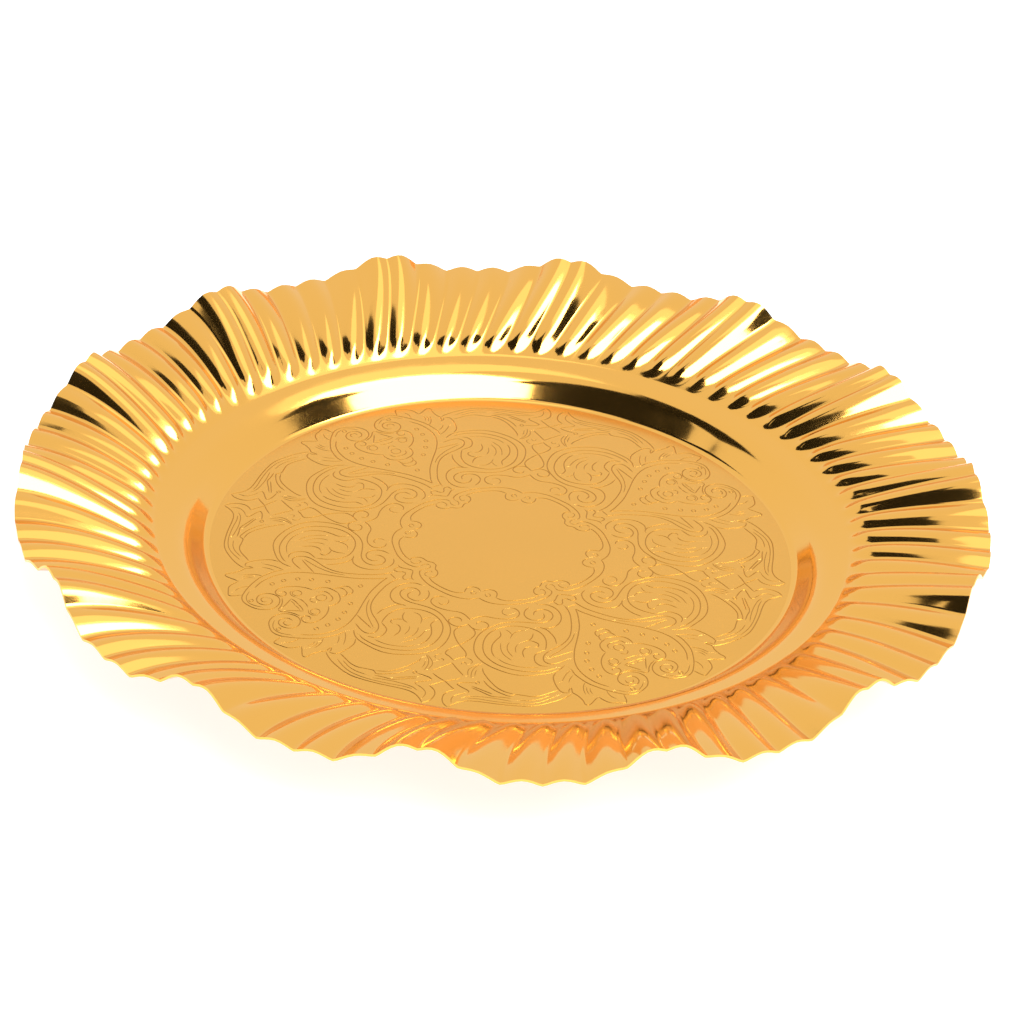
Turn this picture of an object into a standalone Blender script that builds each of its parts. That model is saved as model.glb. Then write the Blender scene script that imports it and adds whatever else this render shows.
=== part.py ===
"""Round serving tray pressed from one sheet of polished brass, with a waved and pleated rim.

One sheet makes the flat floor, the shallow well, the plain shoulder and the rim. Four rubber pads are stuck
under the floor. The frame has its origin on the surface that the tray stands on, under the middle of the
floor, with +Z up. All sizes are in metres and all angles in radians.
"""

from math import atan2, cos, hypot, pi, radians, sin, tan

import bmesh
import bpy

# The sheet and its flat floor.
SHEET = 0.0008
FLOOR_RADIUS = 0.1065

# The well: a concave fillet, a straight wall and a convex fillet lead up to the plain shoulder.
WELL_DEPTH = 0.0097
WELL_ANGLE = radians(48)
WELL_FILLET = 0.0035
SHOULDER_FILLET = 0.014
SHOULDER_WIDTH = 0.0057
SHOULDER_SLOPE = radians(13)

# The rim, from the inner ends of the pleats to the cut edge.
OVERALL_DIAMETER = 0.350
EDGE_HEIGHT = 0.0272
RIM_START_SLOPE = radians(28)

# The edge rises and falls in lobes. Where it rises, it is drawn in towards the middle.
LOBES = 14
LOBE_LIFT = 0.0042
LOBE_PULL = 0.0013
LOBE_GROWTH = 1.3
LOBE_SHARPNESS = 0.3
LOBE_START = radians(16)

# Each pleat is a ridge that starts in a rounded nose at the shoulder and sweeps clockwise on its way out.
PLEATS_PER_LOBE = 6
PLEAT_DEPTH_AT_NOSE = 0.0021
PLEAT_DEPTH_AT_EDGE = 0.0020
NOSE_LENGTH = 0.008
SWEEP = radians(5.2)
SWEEP_POWER = 1.65

# The pads under the floor. Their middles lie this far in from its edge.
PAD_COUNT = 4
PAD_RADIUS = 0.006
PAD_THICKNESS = 0.002
PAD_BEVEL = 0.0005
PAD_INSET = 0.0215
PAD_GAP = 0.0003

# How finely the sheet is divided.
FILLET_STEPS = 2
RIM_STEPS = 4
COLUMNS_PER_PLEAT = 2

PLEATS = LOBES * PLEATS_PER_LOBE
COLUMNS = PLEATS * COLUMNS_PER_PLEAT
FLOOR_TOP = PAD_THICKNESS + PAD_GAP + SHEET
PAD_CIRCLE_RADIUS = FLOOR_RADIUS - PAD_INSET

BRASS_COLOUR = (0.86, 0.50, 0.13, 1.0)
RUBBER_COLOUR = (0.03, 0.03, 0.03, 1.0)


def clear_scene():
    """Remove whatever the file holds."""
    for obj in list(bpy.data.objects):
        bpy.data.objects.remove(obj)


def material(name, colour, roughness, metallic):
    """A Principled material for one part."""
    made = bpy.data.materials.new(name)
    made.use_nodes = True
    shader = made.node_tree.nodes["Principled BSDF"]
    shader.inputs["Base Color"].default_value = colour
    shader.inputs["Roughness"].default_value = roughness
    shader.inputs["Metallic"].default_value = metallic
    return made


def fillet(start_radius, start_height, turn_radius, from_angle, to_angle):
    """Points after the first on an arc whose slope turns evenly from one angle to the other."""
    bend = 1 if to_angle > from_angle else -1
    points = []
    for step in range(1, FILLET_STEPS + 1):
        angle = from_angle + (to_angle - from_angle) * step / FILLET_STEPS
        run = bend * turn_radius * (sin(angle) - sin(from_angle))
        rise = bend * turn_radius * (cos(from_angle) - cos(angle))
        points.append((start_radius + run, start_height + rise))
    return points


def well_profile():
    """(radius, height above the floor) from the middle of the floor to the inner ends of the pleats."""
    points = [(0.0, 0.0), (FLOOR_RADIUS, 0.0)]
    points += fillet(*points[-1], WELL_FILLET, 0.0, WELL_ANGLE)
    convex_rise = SHOULDER_FILLET * (cos(SHOULDER_SLOPE) - cos(WELL_ANGLE))
    radius, height = points[-1]
    wall_rise = WELL_DEPTH - convex_rise - height
    points.append((radius + wall_rise / tan(WELL_ANGLE), height + wall_rise))
    points += fillet(*points[-1], SHOULDER_FILLET, WELL_ANGLE, SHOULDER_SLOPE)
    radius, height = points[-1]
    points.append((radius + SHOULDER_WIDTH, height + SHOULDER_WIDTH * tan(SHOULDER_SLOPE)))
    return points


def lobe_wave(phase_angle):
    """How far the edge is up (positive) or down, in units of LOBE_LIFT. Lobes are highest at angle 0."""
    phase = LOBES * phase_angle
    return cos(phase) + LOBE_SHARPNESS * cos(2 * phase)


def rim_run(start_radius):
    """How far the rim reaches outwards where its edge is neither up nor down."""
    lowest_wave = LOBE_SHARPNESS - 1
    return OVERALL_DIAMETER / 2 + LOBE_PULL * lowest_wave - start_radius


def pleat_ridge(share, run, phase_angle):
    """Height of a ridge above the valleys beside it. A valley lies on the middle of every lobe."""
    depth = PLEAT_DEPTH_AT_NOSE + (PLEAT_DEPTH_AT_EDGE - PLEAT_DEPTH_AT_NOSE) * share
    nose = min(1.0, share * run / NOSE_LENGTH)
    return depth * nose * (2 - nose) * (1 - cos(PLEATS * phase_angle)) / 2


def rim_point(share, phase_angle, start_radius, start_height):
    """(radius, height above the floor) of the sheet's upper face, at a share of the way out along the rim."""
    run = rim_run(start_radius)
    climb = EDGE_HEIGHT - start_height
    steepness = run * tan(RIM_START_SLOPE) / climb
    wave = lobe_wave(phase_angle) * share**LOBE_GROWTH
    height = start_height + climb * share * (steepness - (steepness - 1) * share)
    radius = start_radius + run * share - LOBE_PULL * wave
    return radius, height + LOBE_LIFT * wave + pleat_ridge(share, run, phase_angle)


def rim_shares(start_radius):
    """Where the rim's rings lie: two on the noses, then evenly out to the edge."""
    nose_share = NOSE_LENGTH / rim_run(start_radius)
    even = [nose_share + (1 - nose_share) * step / RIM_STEPS for step in range(RIM_STEPS + 1)]
    return [nose_share / 2] + even


def turned_mesh(profile):
    """The profile turned about Z as an open surface, with one column on each crest and each valley."""
    mesh = bpy.data.meshes.new("profile")
    mesh.from_pydata([(r, 0.0, z) for r, z in profile], [(i, i + 1) for i in range(len(profile) - 1)], [])
    turned = bpy.data.objects.new("profile", mesh)
    bpy.context.scene.collection.objects.link(turned)
    screw = turned.modifiers.new("turn", "SCREW")
    screw.steps = COLUMNS
    screw.render_steps = COLUMNS
    screw.use_merge_vertices = True
    screw.merge_threshold = 1e-6
    graph = bpy.context.evaluated_depsgraph_get()
    surface = bpy.data.meshes.new_from_object(turned.evaluated_get(graph))
    bpy.data.objects.remove(turned)
    bpy.data.meshes.remove(mesh)
    return surface


def form_sheet(surface, start_radius, start_height):
    """Turn the whole surface to the lobes' place, and wave, pleat and sweep what lies beyond the shoulder."""
    run = rim_run(start_radius)
    form = bmesh.new()
    form.from_mesh(surface)
    for vertex in form.verts:
        radius = hypot(vertex.co.x, vertex.co.y)
        phase_angle = atan2(vertex.co.y, vertex.co.x)
        share = max(0.0, (radius - start_radius) / run)
        height = vertex.co.z
        if share > 0:
            radius, height = rim_point(share, phase_angle, start_radius, start_height)
        angle = phase_angle + LOBE_START + SWEEP * max(0.0, 1 - share) ** SWEEP_POWER
        vertex.co = (radius * cos(angle), radius * sin(angle), FLOOR_TOP + height)
    bmesh.ops.recalc_face_normals(form, faces=form.faces)
    floor_face = min(form.faces, key=lambda face: face.calc_center_median().length)
    if floor_face.normal.z < 0:
        bmesh.ops.reverse_faces(form, faces=form.faces)
    form.to_mesh(surface)
    form.free()


def build_tray_body(collection):
    """The pressed sheet: floor, well, shoulder and rim in one piece of even thickness."""
    profile = well_profile()
    start_radius, start_height = profile[-1]
    run = rim_run(start_radius)
    profile += [(start_radius + run * share, start_height) for share in rim_shares(start_radius)]
    surface = turned_mesh(profile)
    form_sheet(surface, start_radius, start_height)
    surface.name = "tray_body"
    surface.shade_smooth()
    body = bpy.data.objects.new("tray_body", surface)
    collection.objects.link(body)
    body.data.materials.append(material("polished_brass", BRASS_COLOUR, 0.12, 1.0))
    wall = body.modifiers.new("sheet", "SOLIDIFY")
    wall.thickness = SHEET
    wall.offset = -1
    return body


def build_foot_pad(collection, number):
    """A round rubber pad under the floor, with its lower edge bevelled."""
    angle = 2 * pi * (number - 0.5) / PAD_COUNT
    bpy.ops.mesh.primitive_cylinder_add(vertices=32, radius=PAD_RADIUS, depth=PAD_THICKNESS)
    pad = bpy.context.object
    pad.name = f"foot_pad_{number}"
    pad.location = (PAD_CIRCLE_RADIUS * cos(angle), PAD_CIRCLE_RADIUS * sin(angle), PAD_THICKNESS / 2)
    for owner in list(pad.users_collection):
        owner.objects.unlink(pad)
    collection.objects.link(pad)
    pad.data.materials.append(material(pad.name, RUBBER_COLOUR, 0.7, 0.0))
    bevel = pad.modifiers.new("rounded_edge", "BEVEL")
    bevel.width = PAD_BEVEL
    bevel.segments = 2
    pad.data.shade_smooth()
    pad.data.set_sharp_from_angle(angle=radians(40))
    return pad


def main():
    clear_scene()
    tray = bpy.data.collections.new("brass_tray")
    bpy.context.scene.collection.children.link(tray)
    build_tray_body(tray)
    for number in range(1, PAD_COUNT + 1):
        build_foot_pad(tray, number)


main()
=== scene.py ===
"""Looks of a round serving tray of polished brass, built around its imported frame.

The tray is one pressed sheet: an engraved floor, a shallow well, a plain shoulder and a rim of swept pleats
whose edge rises and falls in lobes. It stands on four rubber pads. Lengths are in metres and angles in
radians, except in the engraving, which is laid out in millimetres.
"""

import logging
from dataclasses import dataclass
from enum import Enum
from math import atan2, copysign, cos, hypot, pi, radians, sin, tan

import bmesh
import bpy
import numpy as np
from mathutils import Matrix, Vector
from mathutils.geometry import delaunay_2d_cdt


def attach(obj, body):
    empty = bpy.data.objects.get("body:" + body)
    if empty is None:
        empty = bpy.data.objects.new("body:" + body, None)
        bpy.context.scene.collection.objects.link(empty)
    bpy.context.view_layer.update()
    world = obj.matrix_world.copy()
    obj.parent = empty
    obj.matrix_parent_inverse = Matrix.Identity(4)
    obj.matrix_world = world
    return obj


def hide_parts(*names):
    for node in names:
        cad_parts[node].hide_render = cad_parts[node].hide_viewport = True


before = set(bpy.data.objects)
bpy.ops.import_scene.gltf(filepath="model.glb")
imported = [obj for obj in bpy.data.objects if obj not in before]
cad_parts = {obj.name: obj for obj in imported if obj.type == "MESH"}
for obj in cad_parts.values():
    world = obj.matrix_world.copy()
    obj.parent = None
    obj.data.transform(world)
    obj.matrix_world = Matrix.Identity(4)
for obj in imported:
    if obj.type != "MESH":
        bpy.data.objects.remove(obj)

LOG = logging.getLogger("brass_tray")
MM = 0.001

# The engraving is drawn for one eighth of the floor, and mirrored to fill it.
EIGHTHS = 8

# Distances too small to see: what counts as the same place, and how near points are merged into one.
BARELY = 0.000001
HAIR = 0.00001
CLOSED_TURN = 0.000002
JOINED_EDGE = 0.000003


class Slot(Enum):
    """A name for the sheet's material slot in the record, which the script does not use. The pads keep their
    own.
    """

    BRASS = "polished_brass"


class Line(Enum):
    """Widths of the engraver's two tools, in millimetres."""

    BROAD = 0.42
    FINE = 0.32


def linear(hex_colour: str) -> tuple[float, float, float, float]:
    """Turn an sRGB hex colour into linear values.

    Args:
        hex_colour: Six hex digits, with or without a leading #.

    Returns:
        Red, green, blue and an alpha of 1.
    """
    digits = hex_colour.lstrip("#")
    channels = [int(digits[i : i + 2], 16) / 255 for i in (0, 2, 4)]
    red, green, blue = [c / 12.92 if c <= 0.04045 else ((c + 0.055) / 1.055) ** 2.4 for c in channels]
    return red, green, blue, 1.0


def per_metre(size_mm: float) -> float:
    """Texture scale at which one cell of a pattern has this size.

    Args:
        size_mm: The cell's size in millimetres.

    Returns:
        Cells in a metre.
    """
    return 1.0 / (size_mm * MM)


def add_node(
    material: bpy.types.Material, kind: str, settings: dict | None = None, links: dict | None = None
) -> bpy.types.Node:
    """Add one shader node with its values and its incoming links.

    Args:
        material: The material whose tree gets the node.
        kind: The node's type name.
        settings: Property names, or input names and numbers, with their values.
        links: Input names or numbers with the output sockets that feed them.

    Returns:
        The new node.
    """
    tree = material.node_tree
    node = tree.nodes.new(kind)
    for name, value in (settings or {}).items():
        if isinstance(name, str) and hasattr(node, name) and name not in node.inputs:
            setattr(node, name, value)
        else:
            node.inputs[name].default_value = value
    for name, socket in (links or {}).items():
        tree.links.new(socket, node.inputs[name])
    return node


def blank_material(name: str) -> bpy.types.Material:
    """Add a material with an empty node tree.

    Args:
        name: The finish's name.

    Returns:
        The new material.
    """
    material = bpy.data.materials.new(name)
    material.use_nodes = True
    material.node_tree.nodes.clear()
    return material


@dataclass(frozen=True)
class PlatedBrass:
    """Brass sheet, gold plated and polished: yellow mirror reflections, and orange ones where it sees itself.

    Attributes:
        name: The finish's name.
        tint: The metal's colour seen straight on.
        roughness: The lowest and the highest roughness.
        patch_mm: Size of the patches of differing polish.
        ripple_mm: Size of the slow waves that pressing leaves in the sheet.
        ripple_height: Height of those waves.
        grain_mm: Size of the grain that dulls the reflections, drawn coarse enough to show.
        grain_height: Height of that grain.
    """

    name: str
    tint: str
    roughness: tuple[float, float]
    patch_mm: float
    ripple_mm: float
    ripple_height: float
    grain_mm: float
    grain_height: float

    def make(self) -> bpy.types.Material:
        """Build the material.

        Returns:
            The finished material.
        """
        material = blank_material(self.name)
        place = add_node(material, "ShaderNodeTexCoord").outputs["Object"]
        patches = add_node(
            material,
            "ShaderNodeTexNoise",
            {"Scale": per_metre(self.patch_mm), "Detail": 3.0},
            {"Vector": place},
        )
        polish = add_node(
            material,
            "ShaderNodeMapRange",
            {"From Min": 0.3, "From Max": 0.7, "To Min": self.roughness[0], "To Max": self.roughness[1]},
            {"Value": patches.outputs["Fac"]},
        )
        ripple = add_node(
            material,
            "ShaderNodeTexNoise",
            {"Scale": per_metre(self.ripple_mm), "Detail": 1.0},
            {"Vector": place},
        )
        waves = add_node(
            material,
            "ShaderNodeBump",
            {"Strength": 1.0, "Distance": self.ripple_height},
            {"Height": ripple.outputs["Fac"]},
        )
        grain = add_node(
            material,
            "ShaderNodeTexNoise",
            {"Scale": per_metre(self.grain_mm), "Detail": 2.0},
            {"Vector": place},
        )
        marks = add_node(
            material,
            "ShaderNodeBump",
            {"Strength": 1.0, "Distance": self.grain_height},
            {"Height": grain.outputs["Fac"], "Normal": waves.outputs["Normal"]},
        )
        shader = add_node(
            material,
            "ShaderNodeBsdfPrincipled",
            {"Base Color": linear(self.tint), "Metallic": 1.0},
            {"Roughness": polish.outputs["Result"], "Normal": marks.outputs["Normal"]},
        )
        add_node(material, "ShaderNodeOutputMaterial", links={"Surface": shader.outputs["BSDF"]})
        return material


@dataclass(frozen=True)
class MouldedRubber:
    """Soft black rubber from a mould: dull, a little dusty, with a fine pebbled skin.

    Attributes:
        name: The finish's name.
        dark: The rubber's own colour.
        dusty: Its colour where dust clings.
        dust_mm: Size of the dusty patches.
        pebble_mm: Size of the skin's pebbles, drawn coarse enough to show.
    """

    name: str
    dark: str
    dusty: str
    dust_mm: float
    pebble_mm: float

    def make(self) -> bpy.types.Material:
        """Build the material.

        Returns:
            The finished material.
        """
        material = blank_material(self.name)
        place = add_node(material, "ShaderNodeTexCoord").outputs["Object"]
        dust = add_node(
            material,
            "ShaderNodeTexNoise",
            {"Scale": per_metre(self.dust_mm), "Detail": 4.0},
            {"Vector": place},
        )
        colour = add_node(material, "ShaderNodeValToRGB", links={"Fac": dust.outputs["Fac"]})
        clean, dusty = colour.color_ramp.elements
        clean.position, clean.color = 0.4, linear(self.dark)
        dusty.position, dusty.color = 0.75, linear(self.dusty)
        pebbles = add_node(
            material, "ShaderNodeTexVoronoi", {"Scale": per_metre(self.pebble_mm)}, {"Vector": place}
        )
        skin = add_node(
            material,
            "ShaderNodeBump",
            {"Strength": 0.5, "Distance": 0.00006},
            {"Height": pebbles.outputs["Distance"]},
        )
        shader = add_node(
            material,
            "ShaderNodeBsdfPrincipled",
            {"Roughness": 0.68},
            {"Base Color": colour.outputs["Color"], "Normal": skin.outputs["Normal"]},
        )
        add_node(material, "ShaderNodeOutputMaterial", links={"Surface": shader.outputs["BSDF"]})
        return material


@dataclass(frozen=True)
class PaleTable:
    """Matt opal acrylic, lit faintly from below, which the tray stands on.

    Attributes:
        name: The finish's name.
        white: The acrylic's own colour.
        glow: How bright the light from below is.
    """

    name: str = "matt_opal_acrylic"
    white: str = "A8A8A8"
    glow: float = 0.75

    def make(self) -> bpy.types.Material:
        """Build the material.

        Returns:
            The finished material.
        """
        material = blank_material(self.name)
        shader = add_node(
            material,
            "ShaderNodeBsdfPrincipled",
            {
                "Base Color": linear(self.white),
                "Roughness": 0.9,
                "Emission Color": linear("FFFFFF"),
                "Emission Strength": self.glow,
            },
        )
        add_node(material, "ShaderNodeOutputMaterial", links={"Surface": shader.outputs["BSDF"]})
        return material


RIM_BRASS = PlatedBrass(
    name="gold_plated_polished_brass",
    tint="F0B65A",
    roughness=(0.07, 0.12),
    patch_mm=25.0,
    ripple_mm=9.0,
    ripple_height=0.00004,
    grain_mm=0.5,
    grain_height=0.0000008,
)
# The floor's brass: rougher than the rim's for its satin polish, and tinted a little darker than the rim's
# same plating, which is painted shade.
FLOOR_BRASS = PlatedBrass(
    name="gold_plated_satin_brass_painted_shade",
    tint="E8AE53",
    roughness=(0.17, 0.23),
    patch_mm=30.0,
    ripple_mm=28.0,
    ripple_height=0.00010,
    grain_mm=0.45,
    grain_height=0.000004,
)
# Brass for the faces inside the engraved lines: its darker tint is painted shade in the grooves, and its
# higher roughness is real.
GROOVE_BRASS = PlatedBrass(
    name="engraved_brass_painted_shade",
    tint="B8812F",
    roughness=(0.20, 0.28),
    patch_mm=12.0,
    ripple_mm=28.0,
    ripple_height=0.00010,
    grain_mm=0.45,
    grain_height=0.000004,
)
PAD_RUBBER = MouldedRubber(
    name="moulded_black_rubber",
    dark="17171A",
    dusty="2E2D2E",
    dust_mm=4.0,
    pebble_mm=0.5,
)


@dataclass(frozen=True)
class PressedShape:
    """The shape of the sheet's upper face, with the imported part's own sizes.

    Heights are above the floor and slopes are from the level, unless an attribute says otherwise.

    Attributes:
        sheet: Thickness of the metal.
        floor_top: Height of the floor's upper face above the table.
        floor_radius: Where the flat floor ends.
        well_depth: Height from the floor to the outer end of the shoulder's fillet.
        well_angle: Slope of the wall.
        well_fillet: Radius between the floor and the wall.
        shoulder_fillet: Radius between the wall and the shoulder.
        shoulder_width: Width of the plain shoulder.
        shoulder_slope: Its slope.
        overall_diameter: Across the cut edge, midway between the lobes.
        edge_height: Height of the valleys at the cut edge where the lobes are neither up nor down.
        rim_start_slope: Slope of the rim at the pleats' inner ends.
        lobes: How many times the edge rises and falls.
        lobe_lift: Height of the edge's main wave above and below its middle.
        lobe_pull: How far the edge is drawn inwards for the same wave.
        lobe_growth: Power at which the lobes grow on their way out.
        lobe_sharpness: Share of a second wave, which narrows the crests.
        lobe_start: Direction of the first lobe's crest.
        pleats_per_lobe: Pleats in each lobe.
        depth_at_nose: Height of a pleat's crest above its valleys at the inner end.
        depth_at_edge: The same at the cut edge.
        nose_length: Length of a pleat's rounded inner end.
        nose_width: Width of that end, as a share of the pleat's.
        fold_length: Distance over which the rounded finger turns into a fold.
        valley_round: How softly the valley of a fold is rounded.
        sweep: How far round the pleats' inner ends lie from their outer ones.
        sweep_power: Power at which the sweep dies out on the way out.
        fillet_steps: Parts in each fillet.
    """

    sheet: float = 0.0008
    floor_top: float = 0.0031
    floor_radius: float = 0.1065
    well_depth: float = 0.0097
    well_angle: float = radians(48)
    well_fillet: float = 0.0035
    shoulder_fillet: float = 0.014
    shoulder_width: float = 0.0057
    shoulder_slope: float = radians(13)
    overall_diameter: float = 0.350
    edge_height: float = 0.0272
    rim_start_slope: float = radians(28)
    lobes: int = 14
    lobe_lift: float = 0.0042
    lobe_pull: float = 0.0013
    lobe_growth: float = 1.3
    lobe_sharpness: float = 0.3
    lobe_start: float = radians(16)
    pleats_per_lobe: int = 6
    depth_at_nose: float = 0.0021
    depth_at_edge: float = 0.0020
    nose_length: float = 0.008
    nose_width: float = 0.66
    fold_length: float = 0.016
    valley_round: float = 0.15
    sweep: float = radians(5.2)
    sweep_power: float = 1.65
    fillet_steps: int = 6

    def fillet(
        self, start: tuple[float, float], turn_radius: float, slopes: tuple[float, float]
    ) -> list[tuple[float, float]]:
        """Points on an arc whose slope turns evenly, without its first point.

        Args:
            start: Radius and height where the arc starts.
            turn_radius: The arc's own radius.
            slopes: The slope angle at its start and at its end.

        Returns:
            Radius and height of each point.
        """
        low, high = slopes
        bend = 1 if high > low else -1
        points = []
        for step in range(1, self.fillet_steps + 1):
            angle = low + (high - low) * step / self.fillet_steps
            run = bend * turn_radius * (sin(angle) - sin(low))
            rise = bend * turn_radius * (cos(low) - cos(angle))
            points.append((start[0] + run, start[1] + rise))
        return points

    def well(self) -> list[tuple[float, float]]:
        """Lay out the profile from the floor's edge to the inner ends of the pleats.

        Returns:
            Radius and height of each point.
        """
        points = [(self.floor_radius, 0.0)]
        points += self.fillet(points[-1], self.well_fillet, (0.0, self.well_angle))
        convex_rise = self.shoulder_fillet * (cos(self.shoulder_slope) - cos(self.well_angle))
        radius, height = points[-1]
        wall_rise = self.well_depth - convex_rise - height
        points.append((radius + wall_rise / tan(self.well_angle), height + wall_rise))
        points += self.fillet(points[-1], self.shoulder_fillet, (self.well_angle, self.shoulder_slope))
        radius, height = points[-1]
        for share in (0.4, 0.8, 1.0):
            out = self.shoulder_width * share
            points.append((radius + out, height + out * tan(self.shoulder_slope)))
        return points

    def rim_run(self, start_radius: float) -> float:
        """How far the rim reaches outwards where its edge is neither up nor down.

        Args:
            start_radius: Radius of the pleats' inner ends.

        Returns:
            The rim's reach.
        """
        return self.overall_diameter / 2 + self.lobe_pull * (self.lobe_sharpness - 1) - start_radius

    def ridge(self, phase: float, out: float, share: float) -> float:
        """Cross-section of a pleat: a finger tip at its inner end, then a broad ridge between narrow creases.

        Args:
            phase: Place across the pleats; each whole number lies in a valley.
            out: Distance from the pleat's inner end.
            share: The same as a share of the whole way out.

        Returns:
            Height from 0 in the valley to 1 on the crest.
        """
        off_crest = abs(2 * (phase - round(phase - 0.5) - 0.5))
        folded = min(1.0, out / self.fold_length)
        folded = folded * folded * (3 - 2 * folded)
        width = self.nose_width + (1 - self.nose_width) * folded
        from_tip = max(0.0, 1 - out / self.nose_length)
        inside = max(0.0, 1 - (off_crest / width) ** 2 - from_tip**2)
        finger = inside ** (2 - 0.6 * folded)
        sharp_fold = 1 - off_crest ** (2.2 - 0.5 * share)
        soft = self.valley_round
        fold = (hypot(sharp_fold, soft) - soft) / (hypot(1, soft) - soft)
        return finger * (1 - folded) + fold * folded

    def rim(self, share: float, angle: float, start: tuple[float, float]) -> tuple[float, float]:
        """Radius and height above the floor of a point on the rim.

        Args:
            share: Share of the way out along the rim.
            angle: Angle from the middle of a lobe, before the pleats' sweep.
            start: Radius and height of the pleats' inner ends.

        Returns:
            The point's radius and height.
        """
        run = self.rim_run(start[0])
        climb = self.edge_height - start[1]
        steepness = run * tan(self.rim_start_slope) / climb
        lobe = self.lobes * angle
        wave = (cos(lobe) + self.lobe_sharpness * cos(2 * lobe)) * share**self.lobe_growth
        depth = self.depth_at_nose + (self.depth_at_edge - self.depth_at_nose) * share
        ridge = self.ridge(self.lobes * self.pleats_per_lobe * angle / (2 * pi), share * run, share)
        height = start[1] + climb * share * (steepness - (steepness - 1) * share)
        height += self.lobe_lift * wave + depth * ridge
        return start[0] + run * share - self.lobe_pull * wave, height


@dataclass(frozen=True)
class Stroke:
    """One engraved line through a few points, in millimetres, which thins out towards its ends.

    Attributes:
        tool: The tool that cuts it.
        points: The points it passes through.
        taper: How far it takes to reach its full width at either end.
        end_width: Its width at the very end, before the power, as a share of its full width.
        taper_power: Power at which it widens.
    """

    tool: Line
    points: tuple[tuple[float, float], ...]
    taper: float = 1.2
    end_width: float = 0.12
    taper_power: float = 0.6

    def curve(self, step: float) -> np.ndarray:
        """Sample a smooth curve through the points.

        Args:
            step: The spacing wanted along the curve.

        Returns:
            An array of x, y and half width.
        """
        knots = np.array(self.points, float)
        closed = len(knots) > 3 and np.allclose(knots[0], knots[-1])
        before, after = 2 * knots[0] - knots[1], 2 * knots[-1] - knots[-2]
        if closed:
            before, after = knots[-2], knots[1]
        padded = np.vstack([before, knots, after])
        samples = []
        for a, b, c, d in zip(padded, padded[1:], padded[2:], padded[3:]):
            count = max(2, int(np.ceil(np.linalg.norm(c - b) / step)))
            t = np.linspace(0, 1, count, endpoint=False)[:, None]
            cubic = 2 * b + (c - a) * t + (2 * a - 5 * b + 4 * c - d) * t**2 + (3 * b - a - 3 * c + d) * t**3
            samples.append(cubic / 2)
        path = np.vstack([*samples, knots[-1:]])
        along = np.concatenate([[0], np.cumsum(np.linalg.norm(np.diff(path, axis=0), axis=1))])
        from_end = np.minimum(along, along[-1] - along)
        width = np.ones(len(path))
        if not closed:
            width = np.clip(from_end / self.taper, self.end_width, 1.0) ** self.taper_power
        return np.column_stack([path, width * self.tool.value / 2])


def ring(tool: Line, middle: tuple[float, float], radius: float) -> Stroke:
    """Draw a small engraved circle.

    Args:
        tool: The tool that cuts it.
        middle: Its middle, in millimetres.
        radius: Its radius, in millimetres.

    Returns:
        The closed line.
    """
    angles = [2 * pi * k / 8 for k in range(8)]
    points = [(middle[0] + radius * cos(a), middle[1] + radius * sin(a)) for a in angles]
    return Stroke(tool, (*points, points[0]))


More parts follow.
